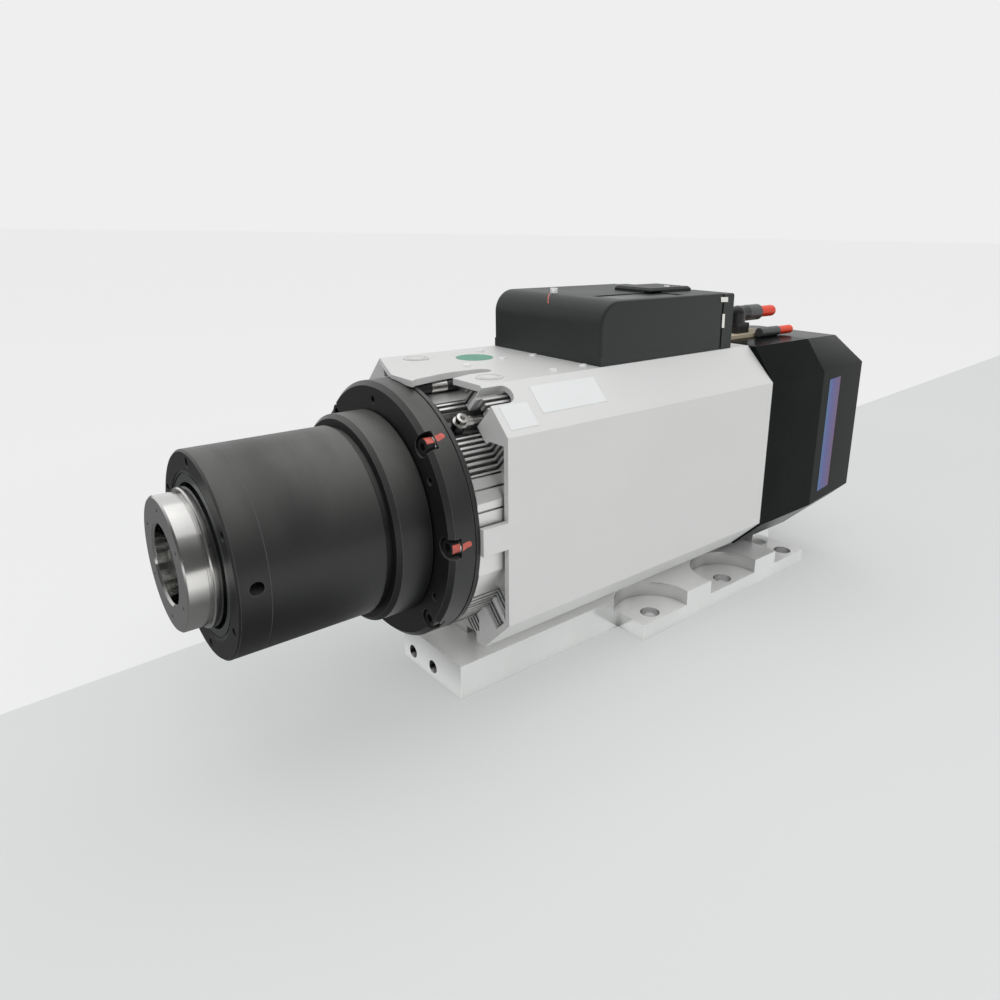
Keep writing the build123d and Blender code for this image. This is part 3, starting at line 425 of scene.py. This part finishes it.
def piece(name, points, faces, look, smooth=True):
    """A mesh of the scene alone, in spindle coordinates, that rides on the housing."""
    mesh = bpy.data.meshes.new(name)
    mesh.from_pydata([at(*p) for p in points], [], faces)
    mesh.materials.append(LOOKS[look].mat)
    for polygon in mesh.polygons:
        polygon.use_smooth = smooth
    made = bpy.data.objects.new(name, mesh)
    bpy.context.scene.collection.objects.link(made)
    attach(made, "housing")


def sheet(name, rows, look):
    """A thin sheet through rows of points."""
    wide = len(rows[0])
    points = [p for row in rows for p in row]
    faces = [(i * wide + j, i * wide + j + 1, (i + 1) * wide + j + 1, (i + 1) * wide + j)
             for i in range(len(rows) - 1) for j in range(wide - 1)]
    piece(name, points, faces, look)


def on_barrel(x, r, angle, centre_r=0.0, centre_angle=0.0):
    """A point on a cylinder along X, whose axis may stand off the main one.

    Both angles go down from +Z towards -Y.
    """
    y = -centre_r * math.sin(centre_angle) - r * math.sin(angle)
    z = centre_r * math.cos(centre_angle) + r * math.cos(angle)
    return (x, y, z)


def cap_clip(name, outline):
    """Bright sprung clip in the near side of the box's end cap, from its x and z corners."""
    points = [(x, y, z) for y in CAP_CLIP_Y for x, z in outline]
    walls = [(i, (i + 1) % 4, (i + 1) % 4 + 4, i + 4) for i in range(4)]
    piece(name, points, [(3, 2, 1, 0), (4, 5, 6, 7)] + walls, "nickel", smooth=False)


def torque_mark(name, angle, lean):
    """A brush stroke of red paint over a rim screw's head and the flange behind it."""
    head = []
    for i in range(HEAD_MARK_ROWS):
        x = HEAD_MARK_X + i * HEAD_MARK_STEP
        turns = [angle + lean + j * HEAD_MARK_TURN for j in range(-4, 5)]
        head.append([on_barrel(x, HEAD_MARK_R, turn, RIM_SCREW_CIRCLE, angle) for turn in turns])
    sheet(name + "_head", head, "paint_red")
    rim = []
    for i in range(RIM_MARK_ROWS + 1):
        u = i / RIM_MARK_ROWS
        tip = math.sqrt(max(0.0, 1 - max(0.0, u - RIM_MARK_TIP) ** 2 * RIM_MARK_TIP_ROUND))
        half = RIM_MARK_HALF * (1 - 0.25 * u) * tip
        middle = angle + RIM_MARK_SHIFT + RIM_MARK_WAVE * math.sin(u * 5 + angle)
        x = RIM_MARK_X + u * RIM_MARK_L
        rim.append([on_barrel(x, RIM_MARK_R, middle + half * k / 3) for k in range(-3, 4)])
    sheet(name + "_rim", rim, "paint_red")


def washer(name, angle):
    """Bright washer under a rim screw's head."""
    profile = ((WASHER_BACK_X, WASHER_R), (WASHER_FACE_X, WASHER_R), (WASHER_FACE_X, WASHER_BORE_R))
    rows = []
    for i in range(WASHER_STEPS + 1):
        turn = i / WASHER_STEPS * math.tau
        rows.append([on_barrel(x, r, turn, RIM_SCREW_CIRCLE, angle) for x, r in profile])
    sheet(name, rows, "nickel")


def lid_mark():
    """Thin red line from the lid's screw over its front curve, slanting."""
    rows = []
    for i in range(LID_MARK_ROWS):
        turn = math.radians(LID_MARK_START + i * LID_MARK_STEP)
        x = LID_CURVE_X - LID_CURVE_R * math.sin(turn)
        y = LID_MARK_Y - LID_MARK_SLANT * i * LID_MARK_STEP
        z = LID_CURVE_Z + LID_CURVE_R * math.cos(turn)
        rows.append([(x, y + LID_MARK_HALF * k, z) for k in (-1, 0, 1)])
    sheet("lid_mark", rows, "paint_red")


def lid_label():
    """Blank label in the lid's shallow recess."""
    x, y, z = LID_LABEL_CORNER
    along, across = LID_LABEL_CELLS
    rows = []
    for i in range(along + 1):
        row_x = x + LID_LABEL_L * i / along
        rows.append([(row_x, y + LID_LABEL_W * j / across, z) for j in range(across + 1)])
    sheet("lid_label", rows, "sticker_dark")


for name, outline in CAP_CLIPS.items():
    cap_clip(name, outline)
for number, (angle, lean) in enumerate(TORQUE_MARKS):
    torque_mark(f"torque_mark_{number}", math.radians(angle), math.radians(lean))
for number, angle in enumerate(WASHER_ANGLES):
    washer(f"rim_washer_{number}", math.radians(angle))
lid_mark()
lid_label()


# Floor, world and lights
PALE = 0.863
FLOOR_R = 30
FLOOR_NEAR = (0.70, 0.72, 0.713)
FLOOR_BEYOND = (PALE, PALE, PALE)
EDGE_LEFT = Vector((-0.3631, 0.1233, 0))
EDGE_RIGHT = Vector((1.4876, 0.2595, 0))
EDGE_SOFT = 0.0005
MIRRORED_FAR = (0.97, 0.97, 0.96)
# Reflections see painted shade on the floor near the object and a painted shadow round the nose.
MIRRORED_NEAR_SHADE = (0.85, 0.86, 0.855)
MIRRORED_NEAR_Y = (-0.26, -0.15)
MIRRORED_NOSE_SHADOW = (0.18, 0.18, 0.18)
MIRRORED_NOSE_X = (-0.195, -0.165)
MIRRORED_NOSE_Y = (-0.26, -0.10)
GLOW_SHARE = (0.5, 0.92)
GLOW_DISTANCE = (0.2, 0.7)
BRIGHT_SIDE = Vector((0.667, 0.745, 0.0))
BRIGHT_TURN = (-0.45, 0.25)
ROOM_DARK = 0.10
ROOM_FILL = 0.52


def stage_floor():
    """Floor in two tones, split by a straight line behind the object.

    The camera sees its plain tones, mixed with the object's shadow near the object. Reflections see it
    pale, with painted shade near the object and a painted shadow round the nose.
    """
    bpy.ops.mesh.primitive_circle_add(vertices=96, radius=FLOOR_R, fill_type="NGON", location=(0, 0, 0))
    floor = bpy.context.object
    floor.name = "floor"
    look = Look("floor", FLOOR_NEAR, 0.8)
    cloud = look.noise(look.place((1.5, 1.5, 1.5)))
    along = (EDGE_RIGHT - EDGE_LEFT).normalized()
    offset = EDGE_LEFT.x * -along.y + EDGE_LEFT.y * along.x
    side = look.dot(look.place(), (-along.y, along.x, 0))
    beyond = look.spread(side, 0, 1, offset - EDGE_SOFT, offset + EDGE_SOFT)
    look.tone(cloud, (0.69, 0.705, 0.70), (0.71, 0.725, 0.72))
    look.over(beyond, "Base Color", (0.85, 0.85, 0.85))
    tones = look.blend(beyond, FLOOR_NEAR, FLOOR_BEYOND)
    parts = look.split()
    # Painted shadow under the nose and painted shade near the object, seen only by reflections.
    ahead = look.spread(parts["X"], 1, 0, *MIRRORED_NOSE_X)
    under = look.maths("MULTIPLY", ahead, look.spread(parts["Y"], 0, 1, *MIRRORED_NOSE_Y))
    near = look.spread(parts["Y"], 0, 1, *MIRRORED_NEAR_Y)
    mirrored = look.blend(under, look.blend(near, MIRRORED_FAR, MIRRORED_NEAR_SHADE), MIRRORED_NOSE_SHADOW)
    path = look.node("ShaderNodeLightPath").outputs
    glow = look.node("ShaderNodeEmission")
    look.link(look.blend(path["Is Camera Ray"], mirrored, tones), glow.inputs["Color"])
    lit = look.spread(look.length(look.place()), *GLOW_SHARE, *GLOW_DISTANCE)
    direct = look.maths("MULTIPLY", path["Is Camera Ray"], lit)
    bounced = look.maths("MAXIMUM", path["Is Glossy Ray"], path["Is Transmission Ray"])
    mix = look.node("ShaderNodeMixShader")
    look.link(look.maths("MAXIMUM", direct, bounced), mix.inputs["Fac"])
    look.link(look.shader.outputs[0], mix.inputs[1])
    look.link(glow.outputs[0], mix.inputs[2])
    look.link(mix.outputs[0], look.tree.nodes["Material Output"].inputs["Surface"])
    floor.data.materials.append(look.mat)


def world():
    """Pale to the camera, dimmer behind it for reflections, and a steady fill light on the object."""
    made = bpy.data.worlds.new("studio")
    bpy.context.scene.world = made
    made.use_nodes = True
    made.node_tree.nodes.clear()
    nodes = Nodes(made.node_tree)
    out = nodes.node("ShaderNodeOutputWorld")
    seen = nodes.node("ShaderNodeBackground")
    seen.inputs["Color"].default_value = (1, 1, 1, 1)
    lit = nodes.node("ShaderNodeBackground")
    lit.inputs["Color"].default_value = (0.98, 0.99, 1.0, 1)
    lit.inputs["Strength"].default_value = ROOM_FILL
    path = nodes.node("ShaderNodeLightPath").outputs
    coord = nodes.node("ShaderNodeTexCoord")
    toward = nodes.dot(coord.outputs["Generated"], BRIGHT_SIDE)
    room = nodes.spread(toward, ROOM_DARK, PALE, *BRIGHT_TURN)
    nodes.link(nodes.blend(path["Is Camera Ray"], room, PALE), seen.inputs["Strength"])
    share = path["Is Camera Ray"]
    for kind in ("Is Glossy Ray", "Is Transmission Ray"):
        share = nodes.maths("MAXIMUM", share, path[kind])
    mix = nodes.node("ShaderNodeMixShader")
    nodes.link(share, mix.inputs["Fac"])
    nodes.link(lit.outputs[0], mix.inputs[1])
    nodes.link(seen.outputs[0], mix.inputs[2])
    nodes.link(mix.outputs[0], out.inputs["Surface"])


def light(name, where, target, size, power, glossy=False):
    """Area lamp in metres and watts, which reflections don't see unless glossy."""
    data = bpy.data.lights.new(name, "AREA")
    data.energy = power
    data.shape = "RECTANGLE"
    data.size, data.size_y = size
    lamp = bpy.data.objects.new(name, data)
    bpy.context.scene.collection.objects.link(lamp)
    lamp.location = where
    lamp.rotation_euler = (Vector(target) - Vector(where)).to_track_quat("-Z", "Y").to_euler()
    lamp.visible_glossy = glossy


stage_floor()
world()
light("overhead", where=(0, 0.1, 1.35), target=(0, 0.1, 0), size=(1.8, 1.7), power=4, glossy=True)
light("overhead_fill", where=(0, 0.1, 1.4), target=(0, 0.1, 0), size=(1.8, 1.7), power=6.1)
light("side", where=(-0.2, -1, 0.95), target=(0, 0, 0.1), size=(0.9, 0.6), power=5.5)
light("front", where=(-1.4, -0.2, 0.5), target=(-0.2, 0, 0.1), size=(0.6, 0.6), power=2)


# Camera solved from the photo
IMAGE_PX = 1000
FOCAL_PX = 746.45
CENTRE_PX = (564.36, 454.58)
SENSOR = 36
AZIMUTH = math.radians(-41.87)
ELEVATION = math.radians(16.837)
ROLL = math.radians(0.9)
DISTANCE = 491.77
TARGET = at(242.455, 0, 6.203)
NEAR_CLIP = 0.01


def photo_camera():
    """Stands back from the target by the fitted angles, rolled, with the photo's off-centre crop."""
    flat = math.cos(ELEVATION)
    back = Vector((math.sin(AZIMUTH) * flat, -math.cos(AZIMUTH) * flat, math.sin(ELEVATION)))
    level = Vector((math.cos(AZIMUTH), math.sin(AZIMUTH), 0))
    upright = back.cross(level)
    right = level * math.cos(ROLL) + upright * math.sin(ROLL)
    up = upright * math.cos(ROLL) - level * math.sin(ROLL)
    data = bpy.data.cameras.new("camera")
    data.sensor_width = SENSOR
    data.lens = FOCAL_PX * SENSOR / IMAGE_PX
    data.shift_x = (IMAGE_PX / 2 - CENTRE_PX[0]) / IMAGE_PX
    data.shift_y = (CENTRE_PX[1] - IMAGE_PX / 2) / IMAGE_PX
    data.clip_start = NEAR_CLIP
    camera = bpy.data.objects.new("camera", data)
    bpy.context.scene.collection.objects.link(camera)
    turn = Matrix((right, up, back)).transposed().to_4x4()
    camera.matrix_world = Matrix.Translation(TARGET + back * DISTANCE * MM) @ turn
    return camera


bpy.context.scene.camera = photo_camera()
bpy.context.scene.view_settings.view_transform = "Standard"
